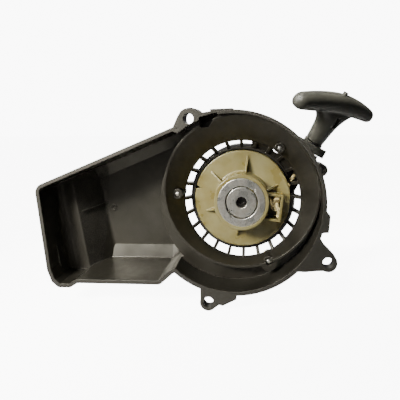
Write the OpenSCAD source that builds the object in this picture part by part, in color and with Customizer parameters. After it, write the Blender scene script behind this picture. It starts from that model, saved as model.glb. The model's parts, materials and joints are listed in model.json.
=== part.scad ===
// Recoil starter with fan shroud and air duct, for a small two-stroke engine.
//
// X runs to the right and Z up, as seen from the engine. Y is the depth away from the engine.
// The origin is where the crank axis meets the mounting plane, and sizes are in millimetres.

/* [Fan shroud] */
// Thickness of the moulded walls
wall = 2.5; // [2:0.1:3]
// Depth of the duct's floor
duct_depth = 39; // [37:0.5:42]
// Depth of the floor around the fan inlet
deck_depth = 17.7; // [17:0.1:19]
// Radius of the outer wall round the fan
volute_r = 59.3; // [58.8:0.1:60]
// Radius of the raised rim of the inlet dish
rim_r = 52; // [51:0.1:52.5]
// Lean of the rim, which is nearest the engine at the top
rim_lean = 4.4; // [3:0.1:5]
// Radius of the inlet opening
inlet_r = 40.6; // [40:0.1:41]
// Depth of the shelf at the duct's far end
shelf_depth = 21.5; // [20:0.5:24]

/* [Mounting ears] */
// Radius of the circle through the three mounting holes
ear_circle_r = 65; // [64.5:0.1:65.5]
// Radius of a mounting hole, clearance for an M6 bolt
ear_hole_r = 3.4; // [3.1:0.1:3.5]
// Thickness of the ears
ear_t = 6; // [5:0.5:8]
// Radius of the space for a bolt's head behind the upper ear
bolt_space_r = 5.4; // [5.2:0.1:5.6]

/* [Recoil cover] */
// Number of vent slots
vent_count = 24; // [20:1:28]
// Width of the bar between two slots
vent_bar = 2; // [1.5:0.1:2.4]
// Depth of the outside face of the cover
cover_depth = 45.5; // [45:0.5:48]
// Radius of the circle through the cover screws
screw_circle_r = 44; // [43.8:0.1:44.4]

/* [Reel] */
// Radius of the reel's flanges
reel_r = 33.6; // [33:0.1:33.8]
// Radius of the rope's path as it leaves the reel
rope_path_r = 24.5; // [24:0.1:25]
// Diameter of the rope
rope_d = 3; // [2.8:0.1:3.2]
// Outer radius of the hub's wall
hub_r = 18.5; // [18:0.1:19]
// Number of turns in the rewind spring
spring_turns = 9; // [6:1:10]

/* [Handle] */
// Length of the cross bar
bar_length = 88; // [82:1:90]
// Lean of the handle towards the engine side
handle_lean = 22; // [18:1:26]
// Turn of the cross bar about the rope
handle_twist = 47; // [40:1:52]

/* [Hidden] */
$fn = 96;

black = [0.09, 0.085, 0.08];
steel = [0.75, 0.75, 0.76];
cream = [0.8, 0.76, 0.6];
rope_tan = [0.72, 0.6, 0.4];

fuse = 0.05;
deck_back = deck_depth + wall;
duct_back = duct_depth + wall;
volute_x = -4.8;
volute_z = 2.2;
rim_z = 7.6;
rim_depth = 7;
skirt_r = 57;

// Outline of the air duct: x, z and corner radius
duct_outline = [
    [-43.9, 50.2, 0], [-136.3, 11.6, 6], [-127.6, -43, 2], [-124.4, -50.4, 3], [-120, -54, 3],
    [-112, -54, 3], [-107, -51, 3], [-52.5, -51, 4], [-44.5, -44, 3], [-37.5, -40.5, 0], [-20, -20, 0], [-20, 40, 0]
];
// The duct's left wall leans by this angle, and everything at that end runs along it
end_lean = 12;
end_x = -137;
end_z = 5.1;

ear_angles = [121, 251, 327];
ear_x = [for (a = ear_angles) ear_circle_r * cos(a)];
ear_z = [for (a = ear_angles) ear_circle_r * sin(a)];
screw_angles = [174, 54, 294];

rope_angle = 60;
rope_depth = 28.5;
rope_x = rope_path_r * cos(rope_angle - 90);
rope_z = rope_path_r * sin(rope_angle - 90);
guide_start = 51.5;
guide_end = 57.5;
swivel = 56.5;

post_r = 6.9;
bore_r = 6.95;
reel_front = 21.8;
groove_front = 24;
groove_back = 33;
reel_back = 35.4;
drum_r = rope_path_r - 2.5 * rope_d;
hub_front = 8.2;
ring_in_r = 10.9;
ring_out_r = 16;
ring_seat = 17;
core_front = 11.85;
post_front = 13.4;
disc_front = 8.6;
disc_r = 10;
disc_back = 11.4;
plate_front = 36;
plate_back = 36.5;
cup_in_r = 34.2;
cup_out_r = 37.4;
spring_front = 37;
spring_back = 42.2;
chamber_back = 43;
spring_in_r = 12;
spring_out_r = 30.6;
spring_t = 0.7;
// The spring's outer eye and the pin in it
pin_x = spring_out_r - 0.6;
pin_z = 1.15;
pin_r = 0.8;
eye_r = 1.45;

stem_start = 3.6;
collar_top = 3.2;
collar_r = 6.8;
bar_height = 36;
washer_z = bar_height - 16.1;
lead_start = 2.7;

function unit(v) = v / norm(v);
function xz(p) = [p[0], p[1]];
function side(a, b) = unit([b[1] - a[1], a[0] - b[0]]);

// Points of a corner at b between a and c, rounded to radius r
function corner(a, b, c, r) =
    r == 0 ? [b] :
    let (
        u = unit(a - b),
        v = unit(c - b),
        half = acos(u * v) / 2,
        centre = b + unit(u + v) * r / sin(half),
        from = b + u * r / tan(half) - centre,
        to = b + v * r / tan(half) - centre,
        start = atan2(from[1], from[0]),
        sweep = (atan2(to[1], to[0]) - start + 540) % 360 - 180
    )
    [for (i = [0:6]) centre + r * [cos(start + sweep * i / 6), sin(start + sweep * i / 6)]];

// A closed outline of [x, z, radius] points, with its corners rounded
function rounded(pts) =
    let (n = len(pts))
    [for (i = [0:n - 1])
        each corner(xz(pts[(i + n - 1) % n]), xz(pts[i]), xz(pts[(i + 1) % n]), pts[i][2])];

// The same outline moved inwards by d, for points that run anticlockwise
function inset(pts, d) =
    let (n = len(pts))
    [for (i = [0:n - 1])
        let (
            a = side(xz(pts[(i + n - 1) % n]), xz(pts[i])),
            b = side(xz(pts[i]), xz(pts[(i + 1) % n])),
            p = xz(pts[i]) - (a + b) * d / (1 + a * b)
        )
        [p[0], p[1], max(pts[i][2] - d, 0)]];

// An outline in X and Z, extruded from depth y0 to depth y1
module slab(y0, y1) {
    translate([0, y1, 0])
    rotate([90, 0, 0])
    linear_extrude(y1 - y0)
    children();
}

// A profile of radius and depth, turned about the crank axis
module spun() {
    rotate([-90, 0, 0])
    rotate_extrude()
    children();
}

module disc(x, z, r, y0, y1) {
    translate([x, y0, z])
    rotate([-90, 0, 0])
    cylinder(h = y1 - y0, r = r);
}

// Turns +X to an angle in the XZ plane, anticlockwise
module at_angle(a) {
    rotate([0, -a, 0])
    children();
}

// Local X runs along the rope from its tangent point on the reel
module rope_frame() {
    translate([rope_x, 0, rope_z])
    at_angle(rope_angle)
    children();
}

// Local Z runs along the handle from the guide, and X along its cross bar
module handle_frame() {
    rope_frame()
    translate([swivel, rope_depth, 0])
    at_angle(-rope_angle)
    rotate([0, 90 - rope_angle, 0])
    rotate([handle_lean, 0, 0])
    rotate([0, 0, handle_twist])
    children();
}

// Local X runs from the duct's left wall, and Z along that wall
module end_frame() {
    translate([end_x, 0, end_z])
    rotate([0, -end_lean, 0])
    children();
}

module at_screws() {
    for (a = screw_angles)
        translate([screw_circle_r * cos(a), 0, screw_circle_r * sin(a)])
        children();
}

// Everything on the engine's side of the rim's leaning plane
module before_rim(depth) {
    translate([0, depth, rim_z])
    rotate([rim_lean, 0, 0])
    translate([-80, -60, -80])
    cube([160, 60, 160]);
}

// A cone from the leaning rim to the round inlet
module dish_cone(outer_r, inner_r, front) {
    hull() {
        translate([0, rim_depth, rim_z])
        rotate([rim_lean, 0, 0])
        disc(0, 0, outer_r, front, fuse);
        disc(0, 0, inner_r, deck_depth, deck_back + fuse);
    }
}

// Far end of the duct: a shelf, a ridge and a slope down to the duct's floor
ridge_u = 14.8;
foot_u = 27;
slope_run = (foot_u - ridge_u) / (duct_depth - shelf_depth);
slope_wall = wall * sqrt(1 + slope_run * slope_run);

// Where the duct's floor starts to rise to the walls, and the flat plate in it
bevel_depth = duct_depth - 3;
bevel_outline = [[-46, 46.4], [-133, 10.2], [-124, -40], [-121, -48.5], [-54, -48.5], [-46, -41.5]];
plate_outline = [[-46, 37.6], [-113, 9.4], [-113, -39.5], [-54, -39.5], [-46, -36]];

module volute_disc(r) {
    translate([volute_x, volute_z])
    circle(r);
}

module rim_disc(r) {
    translate([0, rim_z])
    circle(r);
}

// Webs that carry the three ears, the pad at the top and the tab at the right
module ear_outlines() {
    polygon([[-44, 49.5], [-40.4, 57.6], [-34, 62.6], [-29, 61.2], [-24.5, 59.6], [-19.3, 60.5], [-19.3, 50]]);
    polygon([[-26.4, -50], [-26.2, -60], [-17, -65], [-14.2, -63], [-11.9, -63.6], [-3.2, -59.4], [-3.2, -50]]);
    polygon([[50, -20], [52.9, -25.3], [58, -30.5], [56, -40.3], [47.7, -40.6], [40, -41.4], [30, -41]]);
    translate([ear_x[0], ear_z[0]])
    circle(6.9);
    translate([ear_x[1], ear_z[1]])
    circle(5.4);
    translate([ear_x[2], ear_z[2]])
    circle(5.8);
}

// Pocket beside the upper ear, inside an S-shaped wall
module ear_pocket() {
    polygon(rounded([
        [-26.5, 50, 1], [-21, 50.4, 3], [-17.2, 56.2, 3], [-13.4, 58.4, 0.8], [-15.5, 59.4, 0.8], [-26.5, 56.6, 1]
    ]));
}

module shroud_block() {
    slab(0, deck_back) {
        volute_disc(volute_r);
        polygon([[-19.3, 50], [-19.3, 61.8], [-5, 62.3], [-2, 50]]);
    }
    difference() {
        slab(0, duct_back)
        polygon(rounded(duct_outline));
        disc(0, 0, skirt_r - wall, deck_back, duct_back + 1);
        end_frame()
        translate([0, 0, -80])
        linear_extrude(120)
        polygon([
            [-20, shelf_depth + wall],
            [ridge_u + wall * slope_run - slope_wall, shelf_depth + wall],
            [foot_u + (wall + 1) * slope_run - slope_wall, duct_back + 1],
            [-20, duct_back + 1]
        ]);
    }
    slab(0, ear_t)
    ear_outlines();
    slab(0, 12)
    polygon([[50, -2], [54.8, -4], [56.4, -6], [56, -10.4], [55.2, -16.6], [50, -17]]);
    disc(52.6, 21.4, 4.2, 9, deck_back);
}

// The raised tower that carries the inlet dish
module dish_tower() {
    difference() {
        slab(0, deck_back)
        rim_disc(rim_r);
        before_rim(rim_depth);
    }
    disc(screw_circle_r * cos(screw_angles[2]), screw_circle_r * sin(screw_angles[2]), 5.8, 11, deck_back);
}

// Shelf, ridge and slope at the duct's far end, with a fine rib down the slope to a round pin mark
module duct_end() {
    end_frame() {
        translate([0, 0, -80])
        linear_extrude(120)
        polygon(rounded([
            [-5, shelf_depth - 12, 0], [wall, shelf_depth - 12, 0], [wall, shelf_depth, 7],
            [ridge_u, shelf_depth, 1.2], [foot_u, duct_depth, 3], [foot_u + 8, duct_depth, 0],
            [foot_u + 8, duct_depth + 1, 0], [-5, duct_depth + 1, 0]
        ]));
        translate([0, 0, -20])
        linear_extrude(0.9)
        polygon([
            [ridge_u + 2, shelf_depth + 1], [foot_u + 1, duct_depth - 1],
            [foot_u + 1, duct_depth + 1], [ridge_u, duct_depth]
        ]);
    }
    difference() {
        disc(-100.3, -11.9, 2.5, duct_depth - 0.7, duct_depth + 1);
        disc(-100.3, -11.9, 1.4, duct_depth - 1, duct_depth);
    }
}

module shroud_hollow() {
    difference() {
        union() {
            slab(-1, deck_depth)
            volute_disc(volute_r - wall);
            slab(-1, bevel_depth)
            polygon(rounded(inset(duct_outline, wall)));
            hull() {
                slab(bevel_depth - fuse, bevel_depth)
                polygon(bevel_outline);
                slab(duct_depth - fuse, duct_depth)
                polygon(plate_outline);
            }
        }
        dish_tower();
        disc(0, 0, skirt_r, deck_depth, duct_back);
        duct_end();
    }
}

// Groove behind the rim, with gussets, so that the rim is a wall and not a lump
module rim_groove() {
    difference() {
        slab(0, deck_back + 1)
        rim_disc(rim_r - wall);
        before_rim(rim_depth + 3);
        dish_cone(rim_r + 1.4, inlet_r + wall + 0.8, 0);
        slab(0, deck_back + 2)
        translate([-20, 55])
        circle(9.5);
        for (a = [-10:20:190])
            at_angle(a)
            translate([38, 0, -0.8])
            cube([30, deck_back + 2, 1.6]);
        at_screws()
        disc(0, 0, 5, 0, deck_back + 2);
    }
}

module fan_shroud() {
    color(black)
    difference() {
        union() {
            difference() {
                shroud_block();
                shroud_hollow();
                dish_cone(rim_r - 1.5, inlet_r, -fuse);
                rim_groove();
            }
            at_screws()
            disc(0, 0, 3.4, deck_depth - 5.1, deck_back);
            disc(ear_x[0], ear_z[0], bolt_space_r + 2, ear_t - 1, deck_back);
        }
        for (i = [0:2])
            disc(ear_x[i], ear_z[i], ear_hole_r, -1, ear_t + 1);
        disc(ear_x[0], ear_z[0], bolt_space_r, ear_t, deck_back + 1);
        at_screws()
        disc(0, 0, 2, 0, deck_back + 1);
        disc(52.6, 21.4, 1.6, 0, deck_back + 1);
        slab(-1, deck_depth - 2.5)
        ear_pocket();
    }
}

// Cup wall, rounded outside edge and the raised rings of the outside face
module cover_cup() {
    spun()
    difference() {
        polygon(rounded([
            [0, chamber_back, 0], [31.6, chamber_back, 1], [31.6, plate_back, 0], [cup_in_r, plate_back, 0],
            [cup_in_r, 25.4, 0], [35.8, 25.4, 0.4], [cup_out_r, 28, 0],
            [cup_out_r, cover_depth, 3], [29, cover_depth, 1], [27.5, cover_depth - 1.2, 0.5],
            [23.5, cover_depth - 1.2, 0.5], [22, cover_depth + 1, 1], [0, cover_depth + 1, 0]
        ]));
        translate([0, cover_depth])
        square([12, 2]);
    }
}

// Bars between the slots, on a cone from the flange to the cup
module vent_bars() {
    intersection() {
        spun()
        polygon([[35, 25.8], [inlet_r - 0.6, deck_back + 0.4], [43, deck_back + 0.4], [43, deck_back + 1.6], [37, 31], [35, 31]]);
        for (i = [0:vent_count - 1])
            at_angle(0.7 + i * 360 / vent_count)
            translate([33, 15, -vent_bar / 2])
            cube([14, 20, vent_bar]);
    }
}

// Flange against the shroud, with a lug at each screw
module cover_flange() {
    difference() {
        slab(deck_back, deck_back + 2.5) {
            circle(46.3);
            at_screw_centres()
            circle(5.2);
        }
        slab(deck_back - 1, deck_back + 4)
        circle(inlet_r);
        at_screws()
        disc(0, 0, 2.25, deck_back - 1, deck_back + 4);
    }
}

module at_screw_centres() {
    for (a = screw_angles)
        translate(screw_circle_r * [cos(a), sin(a)])
        children();
}

// Web that closes the slots beside the rope's way out
module blind_web() {
    screw = screw_circle_r * [cos(screw_angles[1]), sin(screw_angles[1])];
    difference() {
        intersection() {
            spun()
            polygon([
                [36, 26.5], [inlet_r + 1, deck_back + 0.6], [43, deck_back + 0.6], [43, deck_back + 2.6], [36, 31]
            ]);
            slab(deck_back, 32)
            polygon([[0, 0], for (a = [32:8:80]) 60 * [cos(a), sin(a)]]);
        }
        disc(screw[0], screw[1], 4.4, deck_back - 1, 33);
    }
}

// Box that takes the rope from the cup to the guide
module rope_arm() {
    difference() {
        rope_frame()
        translate([14, deck_back + 0.5, -6.5])
        cube([guide_start - 14.2, 14.5, 13]);
        rope_frame()
        translate([10, deck_back + 2.5, -4.5])
        cube([guide_start, 10.3, 9]);
        slab(0, 60)
        circle(cup_out_r - 0.5);
        disc(0, 0, inlet_r + 1.2, 0, 30.5);
    }
}

module cover_post() {
    difference() {
        union() {
            disc(0, 0, post_r, post_front, chamber_back + 1);
            disc(0, 0, 10.4, spring_back + 0.3, chamber_back + 1);
        }
        disc(0, 0, 2, post_front - 1, 31);
    }
}

module recoil_cover() {
    color(black)
    union() {
        difference() {
            cover_cup();
            rope_frame()
            translate([10, deck_back, -4.5])
            cube([45, 12.8, 9]);
        }
        difference() {
            union() {
                vent_bars();
                blind_web();
            }
            rope_frame()
            translate([10, rope_depth - 2.3, -2.3])
            cube([45, 5, 4.6]);
        }
        cover_flange();
        rope_arm();
        cover_post();
    }
}

module cover_screw(i) {
    color(steel)
    translate([screw_circle_r * cos(screw_angles[i]), 0, screw_circle_r * sin(screw_angles[i])])
    difference() {
        union() {
            disc(0, 0, 2, deck_depth - 4.6, deck_back + 3);
            spun()
            polygon(rounded([
                [0, deck_back + 2.5, 0], [3.9, deck_back + 2.5, 0.2], [3.9, deck_back + 3.3, 0.2],
                [3.5, deck_back + 3.4, 0], [3, deck_back + 5.2, 0.8], [0, deck_back + 5.2, 0]
            ]));
            spun()
            polygon([[0, deck_depth - 5.7], [1.2, deck_depth - 5.7], [2, deck_depth - 4.6], [0, deck_depth - 4.5]]);
        }
        for (turn = [0, 90])
            at_angle(turn)
            translate([-2.2, deck_back + 3.6, -0.5])
            cube([4.4, 3, 1]);
    }
}

module cover_screw_left() { cover_screw(0); }
module cover_screw_upper() { cover_screw(1); }
module cover_screw_lower() { cover_screw(2); }

// Block at the end of the rope arm, which the handle rests on
module rope_guide() {
    color(black)
    difference() {
        union() {
            rope_frame()
            translate([guide_start, 21, -10])
            cube([guide_end - guide_start, 15, 21]);
            rope_frame()
            translate([guide_start - 8, deck_back + 2.7, -4.3])
            cube([8.1, 9.9, 8.6]);
            handle_frame()
            translate([0, 0, -2.5])
            cylinder(h = 2.5 + collar_top, r = collar_r);
        }
        rope_frame()
        translate([guide_start - 10, rope_depth, 0])
        rotate([0, 90, 0])
        cylinder(h = 20, r = 2.2);
        rope_frame()
        translate([guide_end - 3.4, rope_depth, 0])
        rotate([0, 90, 0])
        cylinder(h = 5, r = 4);
        rope_frame()
        translate([guide_end, rope_depth, 0])
        rotate([0, 90, 0])
        cylinder(h = 0.8, r = 5.3);
        handle_frame()
        translate([0, 0, -1])
        cylinder(h = 8, r = 2.6);
    }
}

module guide_eyelet() {
    color(steel)
    rope_frame()
    translate([guide_end - 3.4, rope_depth, 0])
    rotate([0, 90, 0])
    rotate_extrude()
    polygon(rounded([[2, 0, 0.6], [4, 0, 0], [4, 3.4, 0], [5.2, 3.4, 0], [5.2, 4.1, 0.3], [2.8, 4.1, 0.5], [2, 3, 0.5]]));
}

module retainer_disc() {
    color(steel)
    spun()
    polygon(rounded([
        [2.1, 12, 0], [2.1, post_front, 0], [6.4, post_front, 0.2], [6.4, disc_back, 0],
        [disc_r, disc_back, 0.2], [disc_r, disc_front, 0.4], [3.7, disc_front, 0.3], [3.7, 12, 0]
    ]));
}

module centre_screw() {
    color(steel)
    difference() {
        spun()
        polygon(rounded([
            [0, 10.6, 0], [3.4, 10.6, 0.4], [3.4, 12, 0], [2, 12, 0], [2, 29, 0], [1.2, 30, 0], [0, 30, 0]
        ]));
        translate([0, 9.9, 0])
        rotate([-90, 0, 0])
        cylinder(h = 2, r = 1.75, $fn = 6);
    }
}

module friction_washer() {
    color(steel)
    spun()
    translate([7.2, disc_back])
    square([2.7, 0.35]);
}

// Flat spiral strip, one turn at a time from the inside to the eye at the outside
module rewind_spring() {
    steps = spring_turns * 30;
    function reach(i) = spring_in_r + (spring_out_r - spring_in_r - spring_t) * i / steps;
    inner = [for (i = [0:steps]) reach(i) * [cos(12 * i), sin(12 * i)]];
    outer = [for (i = [steps:-1:0]) (reach(i) + spring_t) * [cos(12 * i), sin(12 * i)]];
    color(steel)
    slab(spring_front, spring_back)
    difference() {
        union() {
            polygon(concat(inner, outer));
            translate([pin_x, pin_z])
            circle(eye_r);
        }
        translate([pin_x, pin_z])
        circle(pin_r + 0.05);
    }
}

module spring_plate() {
    color(steel)
    spun()
    translate([11.8, plate_front])
    square([22.2, 0.5]);
}

module spring_pin() {
    color(steel)
    disc(pin_x, pin_z, pin_r, spring_front, chamber_back);
}

// Gusset between the hub's wall and the flange
module gusset(a, reach) {
    at_angle(a)
    translate([0, 0, -0.6])
    linear_extrude(1.2)
    polygon([
        [hub_r - 0.6, hub_front + 7.5], [hub_r + 0.8, hub_front + 7.5],
        [reach, reel_front + 0.2], [hub_r - 0.6, reel_front + 0.2]
    ]);
}

// Walls round the rope's knot, open towards the hub
module knot_pocket() {
    at_angle(-8)
    difference() {
        translate([hub_r - 1.4, hub_front + 3.5, -10.2])
        cube([10.4, reel_front - hub_front - 3, 18]);
        translate([hub_r - 3, hub_front + 2, -8.8])
        cube([10.4, reel_front - hub_front - 2, 15.2]);
        disc(0, 0, hub_r - 1, 0, 40);
    }
}

module reel() {
    color(cream)
    difference() {
        union() {
            spun()
            polygon(rounded([
                [bore_r, core_front, 0], [10.6, core_front, 0.4], [10.6, ring_seat, 0], [ring_out_r, ring_seat, 0],
                [ring_out_r, hub_front + 0.2, 0.3], [hub_r, hub_front + 0.2, 0.6], [hub_r, reel_front, 1.2],
                [reel_r, reel_front, 0.8], [reel_r, groove_front, 0.6], [drum_r, groove_front, 0],
                [drum_r, groove_back, 0], [reel_r, groove_back, 0.6], [reel_r, reel_back, 0.8],
                [11, reel_back, 0], [11, spring_back, 0.3], [bore_r, spring_back, 0]
            ]));
            for (g = [[20, 27], [82, 30.5], [140, 29], [200, 27.5], [262, 27], [322, 27]])
                gusset(g[0], g[1]);
            knot_pocket();
        }
        at_angle(166.6)
        translate([reel_r - 3.5, 0, 0])
        slab(20, 37)
        polygon([[0, 0], [5, 2], [5, -2]]);
        translate([22.4, reel_front - 1, -3])
        rotate([-90, 0, 0])
        cylinder(h = 4, r = 1.9);
    }
}

module drive_ring() {
    color(steel)
    difference() {
        spun()
        polygon(rounded([
            [ring_in_r, ring_seat, 0], [ring_out_r, ring_seat, 0], [ring_out_r, hub_front, 0.4],
            [ring_in_r, hub_front, 0.4]
        ]));
        for (a = [45, 235])
            at_angle(a)
            translate([ring_in_r - 1, hub_front - 1, -0.8])
            cube([2.8, 3.4, 1.6]);
    }
}

module rope_winding() {
    color(rope_tan)
    spun()
    translate([drum_r, groove_front])
    square([3 * rope_d, groove_back - groove_front]);
}

// An overhand knot as a few fat lobes
module knot(size) {
    sphere(r = size, $fn = 32);
    for (a = [30, 150, 270])
        rotate([a, 0, 0])
        translate([0, 0, size * 0.62])
        sphere(r = size * 0.6, $fn = 32);
}

module reel_knot() {
    color(rope_tan)
    union() {
        translate([22.4, 16.6, -4])
        rotate([0, 0, 90])
        knot(2.9);
        disc(22.4, -3, 1.5, 16, reel_front + 2);
    }
}

// The rope from the reel to the guide's mouth, where it turns towards the handle
module rope_run() {
    color(rope_tan)
    union() {
        rope_frame()
        translate([14, rope_depth, 0])
        rotate([0, 90, 0])
        cylinder(h = swivel - 14, r = rope_d / 2, $fn = 32);
        handle_frame() {
            sphere(r = rope_d / 2, $fn = 32);
            cylinder(h = lead_start - 0.1, r = rope_d / 2, $fn = 32);
        }
    }
}

// Half of the cross bar, as round sections that droop towards the end
module bar() {
    hull() {
        for (side = [-1, 1])
            translate([side * bar_length * 0.27, 0, bar_height - 0.5])
            sphere(r = 6.5, $fn = 32);
    }
    for (side = [-1, 1])
        hull() {
            translate([side * bar_length * 0.22, 0, bar_height - 0.6])
            sphere(r = 6, $fn = 32);
            translate([side * bar_length * 0.44, 0, bar_height - 4.4])
            sphere(r = 5.2, $fn = 32);
        }
}

module handle_grip() {
    color(black)
    handle_frame()
    difference() {
        union() {
            bar();
            rotate_extrude()
            polygon(rounded([
                [0, stem_start, 0], [6.4, stem_start, 1.5], [6.6, 15, 8], [7, 22, 10], [10.5, bar_height - 6, 4],
                [9, bar_height, 0], [0, bar_height, 0]
            ]));
        }
        translate([0, 0, stem_start - 1])
        cylinder(h = washer_z, r = 1.7);
        translate([0, 0, washer_z])
        cylinder(h = 9, r = 4.2);
        translate([-1.8, -9, washer_z])
        cube([3.6, 9, 7.5]);
        translate([0, 0, washer_z + 8])
        cylinder(h = 20, r = 1.7);
    }
}

module knot_washer() {
    color(steel)
    handle_frame()
    translate([0, 0, washer_z])
    difference() {
        cylinder(h = 0.8, r = 4.1);
        translate([0, 0, -1])
        cylinder(h = 3, r = 1.7);
    }
}

module handle_knot() {
    color(rope_tan)
    handle_frame()
    translate([0, 0, washer_z + 4.2])
    knot(2.6);
}

module rope_lead() {
    color(rope_tan)
    handle_frame()
    translate([0, 0, lead_start])
    cylinder(h = washer_z + 1 - lead_start, r = rope_d / 2, $fn = 32);
}

module rope_tail() {
    color(black)
    handle_frame()
    translate([0, 0, washer_z + 9])
    cylinder(h = 15.6, r = 1.7);
}

fan_shroud();
recoil_cover();
cover_screw_left();
cover_screw_upper();
cover_screw_lower();
rope_guide();
guide_eyelet();
retainer_disc();
centre_screw();
friction_washer();
rewind_spring();
spring_plate();
spring_pin();
reel();
drive_ring();
rope_winding();
reel_knot();
rope_run();
handle_grip();
handle_knot();
knot_washer();
rope_tail();
rope_lead();
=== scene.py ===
"""Recoil starter with fan shroud and air duct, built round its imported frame."""

import json
import math

import bmesh
import bpy
from mathutils import Matrix, Vector


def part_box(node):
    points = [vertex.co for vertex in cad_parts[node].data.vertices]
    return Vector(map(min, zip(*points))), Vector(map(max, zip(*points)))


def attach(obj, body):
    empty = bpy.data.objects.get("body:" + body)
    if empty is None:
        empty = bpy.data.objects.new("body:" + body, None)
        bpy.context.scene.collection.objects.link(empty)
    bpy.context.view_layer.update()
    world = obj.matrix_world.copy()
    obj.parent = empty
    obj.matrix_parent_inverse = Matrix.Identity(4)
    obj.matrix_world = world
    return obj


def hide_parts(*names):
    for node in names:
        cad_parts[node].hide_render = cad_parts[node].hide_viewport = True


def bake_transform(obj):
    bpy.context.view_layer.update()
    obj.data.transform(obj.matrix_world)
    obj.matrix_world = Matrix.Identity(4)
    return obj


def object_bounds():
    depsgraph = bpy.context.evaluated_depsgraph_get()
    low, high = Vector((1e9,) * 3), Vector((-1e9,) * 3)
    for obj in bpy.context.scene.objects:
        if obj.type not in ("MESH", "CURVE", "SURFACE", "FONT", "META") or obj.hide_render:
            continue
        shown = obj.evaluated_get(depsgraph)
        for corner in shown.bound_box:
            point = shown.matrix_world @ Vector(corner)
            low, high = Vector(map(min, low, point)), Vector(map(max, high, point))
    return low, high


bl_info = {
    "name": "Recoil Starter",
    "version": (1, 0, 0),
    "blender": (4, 5, 0),
    "location": "View3D > Sidebar > Starter",
    "description": "Looks of a recoil starter: plastics, reel, rope, handle and steel parts",
    "category": "Object",
}

MM = 0.001

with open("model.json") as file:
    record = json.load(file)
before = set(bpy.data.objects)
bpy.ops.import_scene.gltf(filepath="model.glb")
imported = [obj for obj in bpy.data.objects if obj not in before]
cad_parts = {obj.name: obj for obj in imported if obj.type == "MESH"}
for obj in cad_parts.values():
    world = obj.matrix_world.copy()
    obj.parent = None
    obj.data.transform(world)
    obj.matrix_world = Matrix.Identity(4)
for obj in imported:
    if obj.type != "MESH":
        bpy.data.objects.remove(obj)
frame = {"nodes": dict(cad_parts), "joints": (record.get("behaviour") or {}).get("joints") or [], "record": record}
cad_box = [list(corner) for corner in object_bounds()]
nodes = frame["nodes"]


def joint(name):
    """The frame's joint of that name."""
    return next(j for j in frame["joints"] if j["name"] == name)


# Places that follow from the frame. The crank axis is the Y axis. The rope leaves the reel's outer
# layer along a tangent, and the swivel is where it bends from the guide into the handle.
LOWEST = cad_box[0][2]
PULL_AXIS = Vector(joint("handle_pull")["axis"]).normalized()
OUTER_LAYER = next(c["ratio"] for c in frame["record"]["behaviour"]["couplings"])
ROPE_ANGLE = math.radians(60)
ROPE_DIRECTION = Vector((math.cos(ROPE_ANGLE), 0, math.sin(ROPE_ANGLE)))
ROPE_DEPTH = sum(corner.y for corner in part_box("rope_winding")) / 2
TANGENT_POINT = Vector((
    OUTER_LAYER * math.sin(ROPE_ANGLE),
    ROPE_DEPTH,
    -OUTER_LAYER * math.cos(ROPE_ANGLE),
))
SWIVEL_DISTANCE = 56.5 * MM
SWIVEL = TANGENT_POINT + ROPE_DIRECTION * SWIVEL_DISTANCE
HANDLE_TWIST = math.radians(47)
# The duct's rough slope, from its far end to its foot, and the depth that it starts at
SLOPE_ENDS = (cad_box[0][0] + 14 * MM, cad_box[0][0] + 31 * MM)
SLOPE_TOP = 21.2 * MM
# Heights above the swivel that the drawn rope runs between, and where the rope ends in the handle
DRAWN_ENDS = (2.4 * MM, 4.6 * MM)
HELD_END = 22.5 * MM

# The handle in its own frame, in millimetres. A section of the stem is its height, its half width and
# its half depth. The bore is given by radius and height, with the knot's room in its middle.
BAR_HEIGHT = 35.8
BAR_DROOP = 5.0
BAR_OFFSET = 1.5
BAR_HALF_TALL, BAR_HALF_DEEP = 7.0, 6.9
BAR_CAP = 0.14
STEM_SECTIONS = (
    (3.7, 5.8, 5.8), (4.3, 6.4, 6.4), (8, 6.8, 6.6), (12, 7.4, 6.8), (16, 8.2, 7.0), (19, 9.4, 7.1),
    (22, 11.4, 7.2), (25, 14.6, 7.2), (27.5, 18.6, 6.8), (29.5, 23, 6.2), (31, 27.5, 5.2), (32.5, 32, 3.8),
)
HANDLE_BORE = (
    (0, 2), (1.75, 2), (1.75, 19.9), (4.2, 19.9), (4.2, 28.6), (1.7, 28.9), (1.7, 46), (0, 46),
)
WINDOW_MIDDLE, WINDOW_SIZE = Vector((0, -4.5, 23.8)), Vector((3.8, 9, 7.6))

# Colours that the finishes mix into their base colours
DUST = (0.045, 0.040, 0.031)
CAST_DARK, CAST_LIGHT = (0.004, 0.0037, 0.003), (0.022, 0.020, 0.016)
CONTACT_FACE = (0.018, 0.017, 0.015)
RUBBED_BLACK = (0.06, 0.055, 0.045)
RUBBED_GRIP = (0.14, 0.135, 0.12)
GRIME = (0.13, 0.10, 0.04)
RUBBED_NYLON = (0.48, 0.42, 0.20)
OIL_FILM = (0.55, 0.52, 0.46)
STEEL_PITS = (0.09, 0.075, 0.06)
RUBBED_STEEL = (0.80, 0.79, 0.76)
OXIDE_DARK, OXIDE_LIGHT = (0.018, 0.017, 0.016), (0.045, 0.042, 0.038)
RUBBED_OXIDE = (0.20, 0.19, 0.17)
SPRING_DARK, SPRING_LIGHT = (0.16, 0.17, 0.20), (0.34, 0.35, 0.38)
# Painted shade: the dark colour that the rope's gaps between strands are painted with
ROPE_GAP_SHADE = (0.15, 0.10, 0.035)
ROPE_FUZZ = (0.70, 0.60, 0.34)
FLOOR_DARK, FLOOR_LIGHT = (0.66, 0.66, 0.66), (0.7, 0.7, 0.7)

# The stage: the camera, and the light that makes the floor and the background pale for it alone
CAMERA_PLACE = Vector((11.1, -205.2, 52.4)) * MM
CAMERA_TURN = (90.61, 0.42, 3.12)
CAMERA_LENS = 29.0
CAMERA_SHIFT = (-0.10, -0.20)
LIGHT_COLOUR = (1.0, 0.98, 0.90)
FLOOR_GLOW = 9.0
BACKGROUND_GLOW = 9.5


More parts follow.
